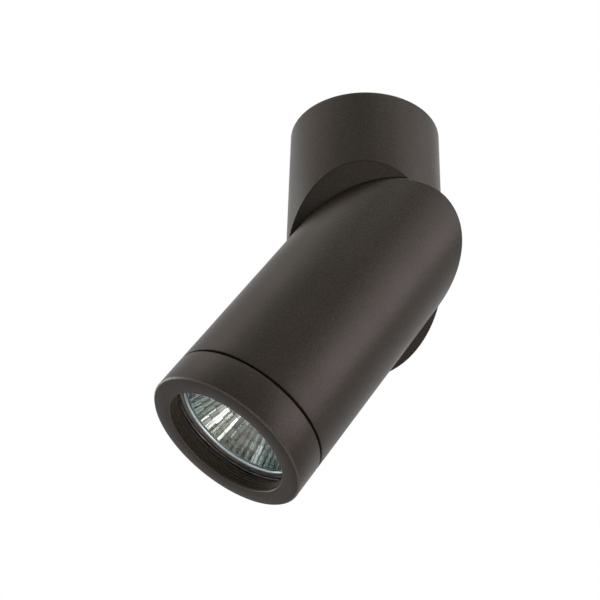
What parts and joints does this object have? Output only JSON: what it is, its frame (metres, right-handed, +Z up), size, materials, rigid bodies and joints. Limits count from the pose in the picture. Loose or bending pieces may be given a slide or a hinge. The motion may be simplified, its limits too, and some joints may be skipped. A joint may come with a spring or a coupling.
{
  "type": "surface-mounted ceiling spotlight",
  "caption": "Cylindrical ceiling spotlight: mitred base and turning lamp head of one diameter, screw-on bezel with recessed glass, reflector lamp inside.",
  "frame": {"origin": "centre of the ceiling bracket's top face, in the ceiling plane", "axes": "+Z up into the ceiling, +X along the line of the two fixing slots, -Y towards the short side of the base, where the mitre faces"},
  "size_m": [0.1147, 0.0782, 0.166],
  "materials": {
    "dark_paint": "fine-textured satin powder coat, dark bronze brown",
    "zinc": "zinc-plated pressed steel",
    "steel": "plated steel",
    "black_steel": "blackened steel",
    "brass": "plain brass",
    "black_rubber": "matt black silicone",
    "white_plastic": "matt white moulding",
    "black_plastic": "matt black moulding",
    "ceramic": "matt off-white ceramic",
    "sleeve": "woven glass-fibre sleeve",
    "wire": "silicone-covered wire",
    "lamp_glass": "moulded lamp glass with a mirror coat inside",
    "clear_glass": "clear glass"
  },
  "bodies": {
    "mount": {"ceiling_bracket": "zinc", "cable_bush": "black_rubber", "bracket_earth_screw": "brass", "bracket_earth_washer": "brass"},
    "base": {"base_housing": "dark_paint", "grub_screws": "black_steel", "terminal_block": "white_plastic", "terminal_sleeves": "brass", "terminal_clamp_screws": "steel", "terminal_block_screws": "steel", "swivel_stop_pin": "steel", "friction_washer": "black_plastic", "base_lead_sheath": "sleeve", "base_lead_wires": "wire"},
    "head": {"head_housing": "dark_paint", "swivel_tube": "steel", "swivel_base_nut": "steel", "swivel_head_nut": "steel", "thrust_washer": "white_plastic", "disc_springs": "steel", "tube_bushes": "black_plastic", "lamp_carrier": "zinc", "carrier_screws": "steel", "lampholder": "ceramic", "holder_screws": "steel", "lamp_contacts": "brass", "lamp_reflector": "lamp_glass", "lamp_cover_glass": "clear_glass", "lamp_cap": "ceramic", "lamp_pins": "steel", "lamp_capsule": "clear_glass", "lamp_filament": "steel", "head_lead_sheath": "sleeve", "head_lead_wires": "wire", "head_earth_wire": "wire", "head_earth_tag": "brass", "head_earth_screw": "steel"},
    "front_glass": {"front_glass": "clear_glass", "glass_gasket": "black_rubber"},
    "bezel": {"bezel_ring": "dark_paint", "bezel_seal": "black_rubber", "glass_retaining_ring": "steel"}
  },
  "joints": [
    {"name": "base_pan", "type": "hinge", "parent": "mount", "child": "base", "pos_m": [0, 0, 0], "axis": [0, 0, 1], "range_deg": [-170, 170]},
    {"name": "head_swivel", "type": "hinge", "parent": "base", "child": "head", "pos_m": [0, 0, -0.067], "axis": [0, -0.7071, -0.7071], "range_deg": [-123.7, 216.3]},
    {"name": "bezel_travel", "type": "slide", "parent": "head", "child": "front_glass", "axis": [-0.5112, -0.1546, -0.8454], "range_m": [0, 0.008]},
    {"name": "bezel_turn", "type": "hinge", "parent": "front_glass", "child": "bezel", "pos_m": [-0.04943, -0.01572, -0.14953], "axis": [-0.5112, -0.1546, -0.8454], "range_deg": [0, 1915]}
  ],
  "couplings": [
    {"joint": "bezel_travel", "follows": "bezel_turn", "m_per_rad": 0.00023873}
  ]
}
